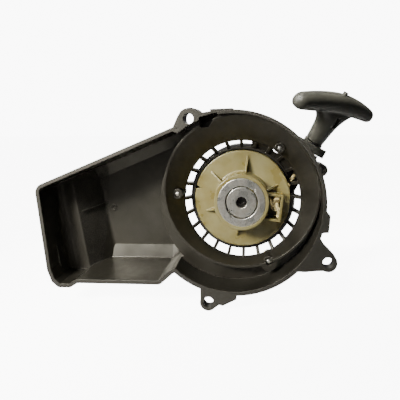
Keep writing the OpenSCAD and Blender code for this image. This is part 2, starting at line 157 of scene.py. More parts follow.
def handle_frame():
    """Local Z runs up the handle from the guide, and local X along its cross bar."""
    lean = math.asin(-PULL_AXIS.y)
    turn = (
        Matrix.Rotation(math.pi / 2 - ROPE_ANGLE, 4, "Y")
        @ Matrix.Rotation(lean, 4, "X")
        @ Matrix.Rotation(HANDLE_TWIST, 4, "Z")
    )
    return Matrix.Translation(SWIVEL) @ turn


# ---------------------------------------------------------------- settings


class StarterSizes(bpy.types.PropertyGroup):
    """Sizes that the looks add to the frame's own."""

    rope_diameter: bpy.props.FloatProperty(
        name="Rope diameter", description="Diameter of the braided rope",
        default=2.9 * MM, min=2 * MM, max=3 * MM, unit="LENGTH",
    )
    bar_length: bpy.props.FloatProperty(
        name="Cross bar", description="Length of the handle's cross bar",
        default=87 * MM, min=76 * MM, max=88 * MM, unit="LENGTH",
    )
    edge_radius: bpy.props.FloatProperty(
        name="Edge radius", description="Radius that moulded edges are shaded with",
        default=0.7 * MM, min=0.1 * MM, max=2 * MM, unit="LENGTH",
    )
    grain_size: bpy.props.FloatProperty(
        name="Grain size", description="Size of the moulded grain on black plastic",
        default=0.7 * MM, min=0.2 * MM, max=3 * MM, unit="LENGTH",
    )


class StarterColours(bpy.types.PropertyGroup):
    """Base colours of the finishes."""

    black_plastic: bpy.props.FloatVectorProperty(
        name="Black plastic", description="Shroud, cover and guide",
        subtype="COLOR", size=3, default=(0.014, 0.0128, 0.0100), min=0, max=1,
    )
    grip_plastic: bpy.props.FloatVectorProperty(
        name="Grip plastic", description="Pull handle",
        subtype="COLOR", size=3, default=(0.046, 0.045, 0.037), min=0, max=1,
    )
    cream_nylon: bpy.props.FloatVectorProperty(
        name="Cream nylon", description="Reel",
        subtype="COLOR", size=3, default=(0.215, 0.190, 0.090), min=0, max=1,
    )
    steel: bpy.props.FloatVectorProperty(
        name="Steel", description="Drive ring, retainer disc and screws",
        subtype="COLOR", size=3, default=(0.95, 0.94, 0.89), min=0, max=1,
    )
    rope: bpy.props.FloatVectorProperty(
        name="Rope", description="Main colour of the rope's strands",
        subtype="COLOR", size=3, default=(0.50, 0.375, 0.135), min=0, max=1,
    )


def sizes():
    """The part's sizes, as the panel shows them."""
    return bpy.context.scene.starter_sizes


def colours():
    """The part's base colours, as the panel shows them."""
    return bpy.context.scene.starter_colours


# ---------------------------------------------------------------- node helpers


def add_node(tree, kind, inputs=None, **settings):
    """A node with its settings, and its inputs set to values or joined to sockets."""
    made = tree.nodes.new(kind)
    for key, value in settings.items():
        setattr(made, key, value)
    for key, value in (inputs or {}).items():
        if isinstance(value, bpy.types.NodeSocket):
            tree.links.new(value, made.inputs[key])
        else:
            made.inputs[key].default_value = value
    return made


def maths(tree, operation, *values):
    """One sum on numbers or sockets."""
    return add_node(tree, "ShaderNodeMath", dict(enumerate(values)), operation=operation).outputs[0]


def plus(tree, first, second):
    return maths(tree, "ADD", first, second)


def times(tree, first, second):
    return maths(tree, "MULTIPLY", first, second)


def mixed(tree, factor, first, second):
    """A colour between first and second."""
    inputs = {0: factor, 6: first, 7: second}
    return add_node(tree, "ShaderNodeMix", inputs, data_type="RGBA").outputs[2]


def ranged(tree, value, low, high, new_low=0.0, new_high=1.0):
    """A value moved smoothly from one range to another."""
    made = add_node(
        tree, "ShaderNodeMapRange",
        {0: value, 1: low, 2: high, 3: new_low, 4: new_high}, interpolation_type="SMOOTHSTEP",
    )
    return made.outputs[0]


def noise(tree, vector, scale, detail=2.0, roughness=0.5):
    """Cloudy noise from 0 to 1, with about `scale` clouds in a metre."""
    made = add_node(
        tree, "ShaderNodeTexNoise",
        {"Vector": vector, "Scale": scale, "Detail": detail, "Roughness": roughness},
    )
    return made.outputs[0]


def group_tree(name, inputs, outputs):
    """An empty shader group with named sockets, its group input and its group output."""
    tree = bpy.data.node_groups.new(name, "ShaderNodeTree")
    for label, kind, default in inputs:
        socket = tree.interface.new_socket(label, in_out="INPUT", socket_type=kind)
        socket.default_value = default
    for label, kind in outputs:
        tree.interface.new_socket(label, in_out="OUTPUT", socket_type=kind)
    return tree, tree.nodes.new("NodeGroupInput").outputs, tree.nodes.new("NodeGroupOutput").inputs


def object_place(tree):
    """A point's place in metres, in the shared frame."""
    return tree.nodes.new("ShaderNodeTexCoord").outputs["Object"]


def edge_wear_group():
    """Softens edges in the shading, and masks where hands and tools rub them."""
    tree, given, made = group_tree(
        "edge_wear",
        [("Radius", "NodeSocketFloat", 0.0007), ("Patchiness", "NodeSocketFloat", 300.0)],
        [("Mask", "NodeSocketFloat"), ("Normal", "NodeSocketVector")],
    )
    soft = add_node(tree, "ShaderNodeBevel", {"Radius": given["Radius"]}, samples=6)
    flat = tree.nodes.new("ShaderNodeNewGeometry").outputs["True Normal"]
    match = add_node(
        tree, "ShaderNodeVectorMath", {0: soft.outputs[0], 1: flat}, operation="DOT_PRODUCT",
    ).outputs["Value"]
    edge = ranged(tree, maths(tree, "SUBTRACT", 1.0, match), 0.02, 0.25)
    patch = ranged(tree, noise(tree, object_place(tree), given["Patchiness"], 3.0), 0.35, 0.7)
    tree.links.new(times(tree, edge, patch), made["Mask"])
    tree.links.new(soft.outputs[0], made["Normal"])
    return tree


def grain_group():
    """Fine moulded grain, with slow changes of tone over the surface."""
    tree, given, made = group_tree(
        "moulded_grain",
        [("Grains", "NodeSocketFloat", 1400.0), ("Clouds", "NodeSocketFloat", 26.0)],
        [("Height", "NodeSocketFloat"), ("Tone", "NodeSocketFloat"), ("Speck", "NodeSocketFloat")],
    )
    place = object_place(tree)
    cells = add_node(
        tree, "ShaderNodeTexVoronoi", {"Vector": place, "Scale": given["Grains"]},
        feature="SMOOTH_F1",
    ).outputs["Distance"]
    fine = noise(tree, place, given["Grains"], 2.0)
    tree.links.new(plus(tree, cells, times(tree, fine, 0.6)), made["Height"])
    cloud = noise(tree, place, given["Clouds"], 4.0, 0.6)
    tree.links.new(ranged(tree, cloud, 0.3, 0.7), made["Tone"])
    speck = noise(tree, place, times(tree, given["Grains"], 0.55), 3.0, 0.7)
    tree.links.new(ranged(tree, speck, 0.62, 0.74), made["Speck"])
    return tree


def turned_group():
    """Fine rings about the crank axis, as a lathe leaves them, with a few scratches."""
    tree, given, made = group_tree(
        "turned_rings",
        [("Rings per metre", "NodeSocketFloat", 2600.0)],
        [("Height", "NodeSocketFloat"), ("Tone", "NodeSocketFloat")],
    )
    place = object_place(tree)
    split = add_node(tree, "ShaderNodeSeparateXYZ", {0: place})
    flat = add_node(tree, "ShaderNodeCombineXYZ", {0: split.outputs[0], 2: split.outputs[2]})
    radius = add_node(
        tree, "ShaderNodeVectorMath", {0: flat.outputs[0]}, operation="LENGTH",
    ).outputs["Value"]
    across = add_node(
        tree, "ShaderNodeCombineXYZ",
        {0: times(tree, radius, given["Rings per metre"]), 1: split.outputs[1]},
    ).outputs[0]
    rings = noise(tree, across, 1.0, 4.0, 0.7)
    tree.links.new(rings, made["Height"])
    tree.links.new(ranged(tree, noise(tree, place, 130.0, 5.0, 0.65), 0.35, 0.68), made["Tone"])
    return tree


def place_group(tree, name, **inputs):
    """The named shared group, placed in a material with its own values."""
    made = tree.nodes.new("ShaderNodeGroup")
    made.node_tree = bpy.data.node_groups[name]
    for label, value in inputs.items():
        made.inputs[label.replace("_", " ")].default_value = value
    return made.outputs


def new_material(name):
    """A material with an empty tree, and its Principled shader."""
    material = bpy.data.materials.new(name)
    material.use_nodes = True
    tree = material.node_tree
    shader = tree.nodes["Principled BSDF"]
    return material, tree, shader


def bumped(tree, shader, height, distance, strength, normal=None):
    """Gives a shader fine relief from a height."""
    inputs = {"Height": height, "Distance": distance, "Strength": strength}
    if normal is not None:
        inputs["Normal"] = normal
    bump = add_node(tree, "ShaderNodeBump", inputs)
    tree.links.new(bump.outputs[0], shader.inputs["Normal"])


def tint(colour, factor=1.0):
    """A colour made lighter or darker, as a socket's four values."""
    return (*(min(1.0, c * factor) for c in colour), 1.0)


# ---------------------------------------------------------------- materials


def moulded_black():
    """Satin black moulding: dusty sheen, rubbed edges, scuffed contact faces and a rough cast slope."""
    material, tree, shader = new_material("moulded_black")
    wear = place_group(tree, "edge_wear", Radius=sizes().edge_radius, Patchiness=260.0)
    grain = place_group(tree, "moulded_grain", Grains=1.0 / sizes().grain_size, Clouds=24.0)
    place = object_place(tree)
    across, depth, _ = add_node(tree, "ShaderNodeSeparateXYZ", {0: place}).outputs
    base = colours().black_plastic
    tone = mixed(tree, grain["Tone"], tint(base, 0.7), tint(base, 1.3))
    dusty = mixed(tree, times(tree, grain["Speck"], 0.4), tone, tint(DUST))

    past_end = ranged(tree, across, SLOPE_ENDS[0] - MM, SLOPE_ENDS[0])
    before_foot = ranged(tree, across, SLOPE_ENDS[1] + MM, SLOPE_ENDS[1])
    below_top = ranged(tree, depth, SLOPE_TOP, SLOPE_TOP + MM)
    slope = times(tree, times(tree, past_end, before_foot), below_top)
    mottle = ranged(tree, noise(tree, place, 1500.0, 5.0, 0.7), 0.40, 0.62)
    cast = mixed(tree, slope, dusty, mixed(tree, mottle, tint(CAST_DARK), tint(CAST_LIGHT)))

    contact = ranged(tree, depth, 0.35 * MM, 0.0)
    scuffs = ranged(tree, noise(tree, place, 420.0, 5.0, 0.7), 0.35, 0.65, 0.35, 1.0)
    faced = mixed(tree, times(tree, contact, scuffs), cast, tint(CONTACT_FACE))
    worn = mixed(tree, times(tree, wear["Mask"], 0.35), faced, tint(RUBBED_BLACK))
    tree.links.new(worn, shader.inputs["Base Color"])

    smear = ranged(tree, noise(tree, place, 60.0, 5.0, 0.65), 0.35, 0.65, 0.30, 0.46)
    rough = plus(tree, smear, times(tree, contact, 0.2))
    rough = plus(tree, rough, times(tree, slope, 0.22))
    tree.links.new(rough, shader.inputs["Roughness"])
    shader.inputs["Specular IOR Level"].default_value = 0.6
    shader.inputs["Specular Tint"].default_value = (1.0, 0.96, 0.86, 1.0)
    cast_height = times(tree, times(tree, mottle, slope), 4.0)
    bumped(tree, shader, plus(tree, grain["Height"], cast_height), 0.06 * MM, 0.35, wear["Normal"])
    return material


def grip_black():
    """Dark grey handle plastic with a spark-eroded grain and hand-polished high spots."""
    material, tree, shader = new_material("grip_black")
    wear = place_group(tree, "edge_wear", Radius=sizes().edge_radius, Patchiness=180.0)
    grain = place_group(tree, "moulded_grain", Grains=1700.0, Clouds=70.0)
    base = colours().grip_plastic
    tone = mixed(tree, grain["Tone"], tint(base, 0.85), tint(base, 1.3))
    worn = mixed(tree, times(tree, wear["Mask"], 0.35), tone, tint(RUBBED_GRIP))
    tree.links.new(worn, shader.inputs["Base Color"])
    tree.links.new(ranged(tree, grain["Tone"], 0.0, 1.0, 0.42, 0.58), shader.inputs["Roughness"])
    bumped(tree, shader, grain["Height"], 0.06 * MM, 0.4, wear["Normal"])
    return material


def reel_nylon():
    """Slightly translucent nylon with a soft gloss, clouded with amber and a little grimy."""
    material, tree, shader = new_material("reel_nylon")
    wear = place_group(tree, "edge_wear", Radius=sizes().edge_radius, Patchiness=150.0)
    grain = place_group(tree, "moulded_grain", Grains=900.0, Clouds=60.0)
    base = colours().cream_nylon
    amber = tint((base[0] * 0.80, base[1] * 0.72, base[2] * 0.5))
    tone = mixed(tree, grain["Tone"], amber, tint(base, 1.08))
    grimy = mixed(tree, times(tree, grain["Speck"], 0.3), tone, tint(GRIME))
    pale = mixed(tree, times(tree, wear["Mask"], 0.4), grimy, tint(RUBBED_NYLON))
    tree.links.new(pale, shader.inputs["Base Color"])
    tree.links.new(ranged(tree, grain["Tone"], 0.0, 1.0, 0.26, 0.40), shader.inputs["Roughness"])
    shader.inputs["Subsurface Weight"].default_value = 0.12
    shader.inputs["Subsurface Radius"].default_value = (2.2 * MM, 1.4 * MM, 0.6 * MM)
    shader.inputs["Subsurface Scale"].default_value = 1.0
    bumped(tree, shader, grain["Height"], 0.03 * MM, 0.25, wear["Normal"])
    return material


def turned_steel():
    """Grey steel with lathe rings, smears of oil and rubbed edges."""
    material, tree, shader = new_material("turned_steel")
    wear = place_group(tree, "edge_wear", Radius=0.3 * MM, Patchiness=500.0)
    rings = place_group(tree, "turned_rings", Rings_per_metre=2600.0)
    tone = mixed(tree, rings["Tone"], tint(OIL_FILM), tint(colours().steel))
    pits = ranged(tree, noise(tree, object_place(tree), 900.0, 4.0, 0.7), 0.60, 0.72)
    pitted = mixed(tree, times(tree, pits, 0.6), tone, tint(STEEL_PITS))
    bright = mixed(tree, times(tree, wear["Mask"], 0.7), pitted, tint(RUBBED_STEEL))
    tree.links.new(bright, shader.inputs["Base Color"])
    shader.inputs["Metallic"].default_value = 1.0
    tree.links.new(ranged(tree, rings["Tone"], 0.0, 1.0, 0.42, 0.25), shader.inputs["Roughness"])
    bumped(tree, shader, rings["Height"], 0.02 * MM, 0.5, wear["Normal"])
    return material


def black_oxide():
    """Oiled black finish of a hardened screw, rubbed on its edges."""
    material, tree, shader = new_material("black_oxide")
    wear = place_group(tree, "edge_wear", Radius=0.3 * MM, Patchiness=500.0)
    grain = place_group(tree, "moulded_grain", Grains=2200.0, Clouds=160.0)
    tone = mixed(tree, grain["Tone"], tint(OXIDE_DARK), tint(OXIDE_LIGHT))
    worn = mixed(tree, wear["Mask"], tone, tint(RUBBED_OXIDE))
    tree.links.new(worn, shader.inputs["Base Color"])
    shader.inputs["Metallic"].default_value = 1.0
    tree.links.new(ranged(tree, grain["Tone"], 0.0, 1.0, 0.30, 0.45), shader.inputs["Roughness"])
    bumped(tree, shader, grain["Height"], 0.02 * MM, 0.3, wear["Normal"])
    return material


def blued_spring():
    """Blue-grey strip, oiled, with long rolling marks round the coils."""
    material, tree, shader = new_material("blued_spring")
    rings = place_group(tree, "turned_rings", Rings_per_metre=900.0)
    tone = mixed(tree, rings["Tone"], tint(SPRING_DARK), tint(SPRING_LIGHT))
    tree.links.new(tone, shader.inputs["Base Color"])
    shader.inputs["Metallic"].default_value = 1.0
    tree.links.new(ranged(tree, rings["Tone"], 0.0, 1.0, 0.32, 0.2), shader.inputs["Roughness"])
    bumped(tree, shader, rings["Height"], 0.02 * MM, 0.3)
    return material


def braided_rope():
    """Two crossing sets of strands on the rope's own map: V runs along it in metres. The gaps between the strands
    are painted dark as painted shade.
    """
    material, tree, shader = new_material("braided_rope")
    uv = add_node(tree, "ShaderNodeUVMap", uv_map="rope").outputs[0]
    split = add_node(tree, "ShaderNodeSeparateXYZ", {0: uv})
    strand_pairs, braid_length = 4.0, 4.4 * MM
    around = times(tree, split.outputs[0], strand_pairs)
    along = times(tree, split.outputs[1], 1.0 / braid_length)
    strands = []
    for way in ("ADD", "SUBTRACT"):
        turn = maths(tree, "FRACT", maths(tree, way, around, along))
        strands.append(maths(tree, "SINE", times(tree, turn, math.pi)))
    sink = 0.45
    over = maths(tree, "GREATER_THAN", maths(tree, "SINE", times(tree, along, 4 * math.pi)), 0.0)
    sunk = times(tree, over, sink)
    first = times(tree, strands[0], plus(tree, 1.0 - sink, sunk))
    second = times(tree, strands[1], maths(tree, "SUBTRACT", 1.0, sunk))
    height = maths(tree, "MAXIMUM", first, second)
    fibre = noise(tree, object_place(tree), 2600.0, 3.0, 0.7)
    base = colours().rope
    pale = tint((base[0] * 1.2, base[1] * 1.3, base[2] * 1.5))
    on_top = ranged(tree, maths(tree, "SUBTRACT", first, second), -0.25, 0.25)
    strand_tone = mixed(tree, on_top, pale, tint(base))
    # Painted shade: the low parts of the braid, between the strands, are painted dark
    shaded = mixed(tree, ranged(tree, height, 0.35, 0.85), tint(ROPE_GAP_SHADE), strand_tone)
    fuzzy = mixed(tree, times(tree, fibre, 0.35), shaded, tint(ROPE_FUZZ))
    tree.links.new(fuzzy, shader.inputs["Base Color"])
    shader.inputs["Roughness"].default_value = 0.75
    shader.inputs["Sheen Weight"].default_value = 0.3
    bumped(tree, shader, plus(tree, height, times(tree, fibre, 0.25)), 0.3 * MM, 0.9)
    return material


def pale_floor():
    """Plain pale floor with a trace of unevenness, which glows for the camera alone."""
    material, tree, shader = new_material("pale_floor")
    cloud = noise(tree, object_place(tree), 3.0, 3.0)
    tone = mixed(tree, cloud, tint(FLOOR_DARK), tint(FLOOR_LIGHT))
    tree.links.new(tone, shader.inputs["Base Color"])
    shader.inputs["Roughness"].default_value = 0.9
    glow = add_node(tree, "ShaderNodeEmission", {"Strength": FLOOR_GLOW})
    lit = add_node(tree, "ShaderNodeAddShader", {0: shader.outputs[0], 1: glow.outputs[0]})
    seen = tree.nodes.new("ShaderNodeLightPath").outputs["Is Camera Ray"]
    either = add_node(tree, "ShaderNodeMixShader", {0: seen, 1: shader.outputs[0], 2: lit.outputs[0]})
    tree.links.new(either.outputs[0], tree.nodes["Material Output"].inputs[0])
    return material


def finish(piece, material_name, smooth_angle=None):
    """Gives a piece one finish, and shades it smooth up to an angle in degrees."""
    piece.data.materials.clear()
    piece.data.materials.append(bpy.data.materials[material_name])
    if smooth_angle is not None:
        piece.data.shade_smooth()
        piece.data.set_sharp_from_angle(angle=math.radians(smooth_angle))
    return piece


# ---------------------------------------------------------------- mesh helpers


def new_piece(name, bm):
    """A piece whose place is in its mesh, from a finished bmesh."""
    bmesh.ops.recalc_face_normals(bm, faces=bm.faces)
    mesh = bpy.data.meshes.new(name)
    bm.to_mesh(mesh)
    bm.free()
    piece = bpy.data.objects.new(name, mesh)
    bpy.context.scene.collection.objects.link(piece)
    return piece


def settle(piece):
    """Turns a piece's modifiers into plain mesh."""
    evaluated = piece.evaluated_get(bpy.context.evaluated_depsgraph_get())
    mesh = bpy.data.meshes.new_from_object(evaluated)
    piece.modifiers.clear()
    piece.data = mesh
    return piece


def cut_away(piece, bm):
    """Takes the bmesh's solid out of a piece."""
    cutter = new_piece("cutter", bm)
    cut = piece.modifiers.new("cut", "BOOLEAN")
    cut.object = cutter
    cut.use_self = True
    settle(piece)
    bpy.data.objects.remove(cutter)


def add_lathe(bm, profile, matrix=None, steps=40):
    """A closed form from a profile of radius and depth, turned about the Y axis."""
    rings = []
    for radius, depth in profile:
        count = steps if radius > 0 else 1
        angles = (2 * math.pi * k / steps for k in range(count))
        ring = [bm.verts.new((radius * math.cos(a), depth, radius * math.sin(a))) for a in angles]
        rings.append(ring)
    for first, second in zip(rings, rings[1:]):
        for k in range(steps):
            face = [first[k % len(first)], first[(k + 1) % len(first)]]
            face += [second[(k + 1) % len(second)], second[k % len(second)]]
            bm.faces.new(list(dict.fromkeys(face)))
    if matrix:
        bmesh.ops.transform(bm, matrix=matrix, verts=[v for ring in rings for v in ring])


def add_loft(bm, rings):
    """Skin over rings of points, with a flat face at each end."""
    loops = [[bm.verts.new(point) for point in ring] for ring in rings]
    sides = len(loops[0])
    for first, second in zip(loops, loops[1:]):
        for k in range(sides):
            bm.faces.new((first[k], first[(k + 1) % sides], second[(k + 1) % sides], second[k]))
    bm.faces.new(loops[0])
    bm.faces.new(list(reversed(loops[-1])))
    return loops


def add_rope(bm, route, radius, sides=20, stations=None):
    """A tube along a route. Its map has U around it and V along it in metres."""
    uv_map = bm.loops.layers.uv.get("rope") or bm.loops.layers.uv.new("rope")
    if stations is None:
        stations = [0.0]
        for here, there in zip(route, route[1:]):
            stations.append(stations[-1] + (there - here).length)
    last = len(route) - 1
    normal = None
    rings = []
    for i, point in enumerate(route):
        along = (route[min(i + 1, last)] - route[max(i - 1, 0)]).normalized()
        if normal is None:
            normal = along.orthogonal()
        normal = (normal - along * normal.dot(along)).normalized()
        across = along.cross(normal)
        turns = (2 * math.pi * k / sides for k in range(sides))
        rings.append([point + radius * (math.cos(a) * normal + math.sin(a) * across) for a in turns])
    loops = add_loft(bm, rings)
    bm.faces.ensure_lookup_table()
    row = {vertex: i for i, ring in enumerate(loops) for vertex in ring}
    column = {vertex: k for ring in loops for k, vertex in enumerate(ring)}
    for face in bm.faces:
        if len(face.verts) != 4 or any(vertex not in row for vertex in face.verts):
            continue
        seam = any(column[v] == 0 for v in face.verts) and any(column[v] == sides - 1 for v in face.verts)
        for loop in face.loops:
            k = column[loop.vert]
            around = sides if seam and k == 0 else k
            loop[uv_map].uv = (around / sides, stations[row[loop.vert]])


def rope_piece(name, bm, body, node):
    """A piece of rope on its body, in place of the frame's node."""
    piece = finish(new_piece(name, bm), "braided_rope", 60)
    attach(piece, body)
    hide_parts(node)


def smooth_route(points, steps=12):
    """Points on one smooth curve through the given ones."""
    ends = [2 * points[0] - points[1], *points, 2 * points[-1] - points[-2]]
    route = []
    for a, b, c, d in zip(ends, ends[1:], ends[2:], ends[3:]):
        for i in range(steps):
            t = i / steps
            pull = -t * (1 - t) ** 2, (1 - t) ** 2 * (1 + 2 * t), t * t * (3 - 2 * t), -t * t * (1 - t)
            slopes = (c - a) / 2, (d - b) / 2
            route.append(pull[1] * b + pull[2] * c - pull[0] * slopes[0] + pull[3] * slopes[1])
    return [*route, points[-1]]


def knot_route(centre, size, across, up, squeeze=1.0, steps=90):
    """A closed overhand knot, which lies flat across its own short axis."""
    out = across.cross(up)
    route = []
    for i in range(steps + 1):
        t = 2 * math.pi * i / steps
        x = squeeze * (math.sin(t) + 2 * math.sin(2 * t))
        y = math.cos(t) - 2 * math.cos(2 * t)
        route.append(centre + size * (x * across + y * up - 1.1 * math.sin(3 * t) * out))
    return route


# ---------------------------------------------------------------- geometry nodes


def geometry_tree(name, inputs):
    """A geometry group with named sockets, its group input and its group output."""
    tree = bpy.data.node_groups.new(name, "GeometryNodeTree")
    tree.interface.new_socket("Geometry", in_out="INPUT", socket_type="NodeSocketGeometry")
    for label, kind, default in inputs:
        socket = tree.interface.new_socket(label, in_out="INPUT", socket_type=kind)
        if default is not None:
            socket.default_value = default
    tree.interface.new_socket("Geometry", in_out="OUTPUT", socket_type="NodeSocketGeometry")
    return tree, tree.nodes.new("NodeGroupInput").outputs, tree.nodes.new("NodeGroupOutput").inputs


def end_tree(tree, geometry, given, made):
    """Every tree ends in plain geometry with its material."""
    real = add_node(tree, "GeometryNodeRealizeInstances", {0: geometry})
    finished = add_node(
        tree, "GeometryNodeSetMaterial", {0: real.outputs[0], "Material": given["Material"]},
    )
    tree.links.new(finished.outputs[0], made["Geometry"])


def run_tree(piece, tree, **values):
    """Sets the tree's inputs by their identifiers, runs it, and keeps the plain mesh."""
    modifier = piece.modifiers.new(tree.name, "NODES")
    modifier.node_group = tree
    for item in tree.interface.items_tree:
        key = item.name.replace(" ", "_")
        if item.in_out == "INPUT" and key in values:
            modifier[item.identifier] = values[key]
    return settle(piece)


def ring_of_pieces_tree():
    """Sets copies of a piece round the crank axis, all facing the same way."""
    tree, given, made = geometry_tree("ring_of_pieces", [
        ("Count", "NodeSocketInt", 3),
        ("Circle radius", "NodeSocketFloat", 44 * MM),
        ("First angle", "NodeSocketFloat", 0.0),
        ("Material", "NodeSocketMaterial", None),
    ])
    circle = add_node(
        tree, "GeometryNodeMeshCircle",
        {"Vertices": given["Count"], "Radius": given["Circle radius"]},
    )
    turn = add_node(tree, "ShaderNodeCombineXYZ", {2: given["First angle"]})
    turned = add_node(
        tree, "GeometryNodeTransform",
        {"Geometry": circle.outputs[0], "Rotation": turn.outputs[0]},
    )
    upright = add_node(
        tree, "GeometryNodeTransform",
        {"Geometry": turned.outputs[0], "Rotation": (math.pi / 2, 0, 0)},
    )
    placed = add_node(
        tree, "GeometryNodeInstanceOnPoints",
        {"Points": upright.outputs[0], "Instance": given["Geometry"]},
    )
    end_tree(tree, placed.outputs[0], given, made)
    return tree


def rope_coil_tree():
    """Rope in layers on a drum: each layer runs back over the one below it."""
    tree, given, made = geometry_tree("rope_coil", [
        ("Rope diameter", "NodeSocketFloat", 3 * MM),
        ("Drum radius", "NodeSocketFloat", 17 * MM),
        ("Groove front", "NodeSocketFloat", 24 * MM),
        ("Turns", "NodeSocketFloat", 5.0),
        ("Turns in a layer", "NodeSocketFloat", 2.0),
        ("End angle", "NodeSocketFloat", -math.pi / 6),
        ("Material", "NodeSocketMaterial", None),
    ])
    line = add_node(tree, "GeometryNodeCurvePrimitiveLine", {"End": (1.0, 0.0, 0.0)})
    route = add_node(tree, "GeometryNodeResampleCurve", {"Curve": line.outputs[0], "Count": 420})
    factor = add_node(tree, "GeometryNodeSplineParameter").outputs["Factor"]
    turn = times(tree, factor, given["Turns"])
    layer = maths(tree, "DIVIDE", turn, given["Turns in a layer"])
    climb = ranged(tree, maths(tree, "FRACT", layer), 0.88, 1.0)
    level = plus(tree, maths(tree, "FLOOR", layer), climb)
    radius = times(tree, plus(tree, level, 0.5), given["Rope diameter"])
    radius = plus(tree, radius, given["Drum radius"])
    across = maths(tree, "PINGPONG", turn, given["Turns in a layer"])
    across = times(tree, plus(tree, across, 0.5), given["Rope diameter"])
    angle = times(tree, turn, 2 * math.pi)
    angle = plus(tree, angle, given["End angle"])
    spot = add_node(tree, "ShaderNodeCombineXYZ", {
        0: times(tree, radius, maths(tree, "COSINE", angle)),
        1: plus(tree, across, given["Groove front"]),
        2: times(tree, radius, maths(tree, "SINE", angle)),
    })
    wound = add_node(
        tree, "GeometryNodeSetPosition",
        {"Geometry": route.outputs[0], "Position": spot.outputs[0]},
    )
    length = add_node(tree, "GeometryNodeSplineParameter").outputs["Length"]
    tagged = add_node(tree, "GeometryNodeStoreNamedAttribute", {
        "Geometry": wound.outputs[0], "Name": "along", "Value": length,
    }, data_type="FLOAT", domain="POINT")
    half = times(tree, given["Rope diameter"], 0.485)
    profile = add_node(tree, "GeometryNodeCurvePrimitiveCircle", {"Resolution": 14, "Radius": half})
    around = add_node(tree, "GeometryNodeStoreNamedAttribute", {
        "Geometry": profile.outputs[0], "Name": "around", "Value": factor,
    }, data_type="FLOAT", domain="POINT")
    tube = add_node(tree, "GeometryNodeCurveToMesh", {
        "Curve": tagged.outputs[0], "Profile Curve": around.outputs[0], "Fill Caps": True,
    })
    read = [
        add_node(tree, "GeometryNodeInputNamedAttribute", {"Name": name}, data_type="FLOAT").outputs[0]
        for name in ("around", "along")
    ]
    place = add_node(tree, "ShaderNodeCombineXYZ", {0: read[0], 1: read[1]})
    mapped = add_node(tree, "GeometryNodeStoreNamedAttribute", {
        "Geometry": tube.outputs[0], "Name": "rope", "Value": place.outputs[0],
    }, data_type="FLOAT2", domain="CORNER")
    end_tree(tree, mapped.outputs[0], given, made)
    return tree


# ---------------------------------------------------------------- pieces


class STARTER_OT_finishes(bpy.types.Operator):
    """Makes the finishes and gives each carried node its own"""

    bl_idname = "starter.finishes"
    bl_label = "Finishes"

    def execute(self, context):
        for make in (
            edge_wear_group, grain_group, turned_group, moulded_black, grip_black, reel_nylon,
            turned_steel, black_oxide, blued_spring, braided_rope, pale_floor,
        ):
            make()
        worn_by = {
            "moulded_black": ("fan_shroud", "recoil_cover"),
            "grip_black": ("rope_guide", "handle_grip", "rope_tail"),
            "reel_nylon": ("reel",),
            "turned_steel": (
                "guide_eyelet", "retainer_disc", "friction_washer", "spring_plate",
                "spring_pin", "drive_ring", "knot_washer",
            ),
            "black_oxide": ("centre_screw",),
            "blued_spring": ("rewind_spring",),
        }
        for material, names in worn_by.items():
            for name in names:
                finish(nodes[name], material)
        return {"FINISHED"}


class STARTER_OT_cover_screws(bpy.types.Operator):
    """Makes the three cross-recess screws that hold the cover to the shroud"""

    bl_idname = "starter.cover_screws"
    bl_label = "Cover screws"

    def execute(self, context):
        low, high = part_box("cover_screw_left")
        centre = (low + high) / 2
        tip, top = low.y, high.y
        seat = top - 2.7 * MM
        crest, root, pitch = 2.0 * MM, 1.65 * MM, 0.7 * MM
        head = [
            (0, top - 0.1 * MM), (1.6 * MM, top - 0.15 * MM), (2.7 * MM, top - 0.6 * MM),
            (3.4 * MM, top - 1.3 * MM), (3.5 * MM, seat + 0.9 * MM), (3.9 * MM, seat + 0.8 * MM),
            (3.9 * MM, seat + 0.1 * MM), (3.8 * MM, seat), (1.9 * MM, seat),
        ]
        thread = []
        for i in range(int((seat - tip) / pitch) - 2):
            depth = seat - 0.3 * MM - i * pitch
            thread += [(root, depth), (crest, depth - 0.25 * MM), (root, depth - 0.5 * MM)]
        point = [(1.3 * MM, tip + 0.3 * MM), (0.6 * MM, tip), (0, tip)]
        bm = bmesh.new()
        add_lathe(bm, head + thread + point)
        screw = new_piece("cover_screws", bm)
        cut_away(screw, self.recess(top))
        run_tree(
            screw, ring_of_pieces_tree(), Count=3,
            Circle_radius=math.hypot(centre.x, centre.z),
            First_angle=math.atan2(centre.z, centre.x),
            Material=bpy.data.materials["turned_steel"],
        )
        finish(screw, "turned_steel", 30)
        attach(screw, "root")
        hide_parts("cover_screw_left", "cover_screw_upper", "cover_screw_lower")
        return {"FINISHED"}

    def recess(self, top):
        """The cross in the head: two blades that narrow to the bottom of the recess."""
        recess = bmesh.new()
        for turn in (0, math.pi / 2):
            blade = bmesh.ops.create_cube(recess, size=1)["verts"]
            for vertex in blade:
                deep = vertex.co.y < 0
                vertex.co = Vector((
                    vertex.co.x * (1.2 if deep else 3.8) * MM,
                    top - 1.5 * MM if deep else top + 0.5 * MM,
                    vertex.co.z * 0.75 * MM,
                ))
            bmesh.ops.rotate(recess, verts=blade, matrix=Matrix.Rotation(turn, 3, "Y"))
        return recess


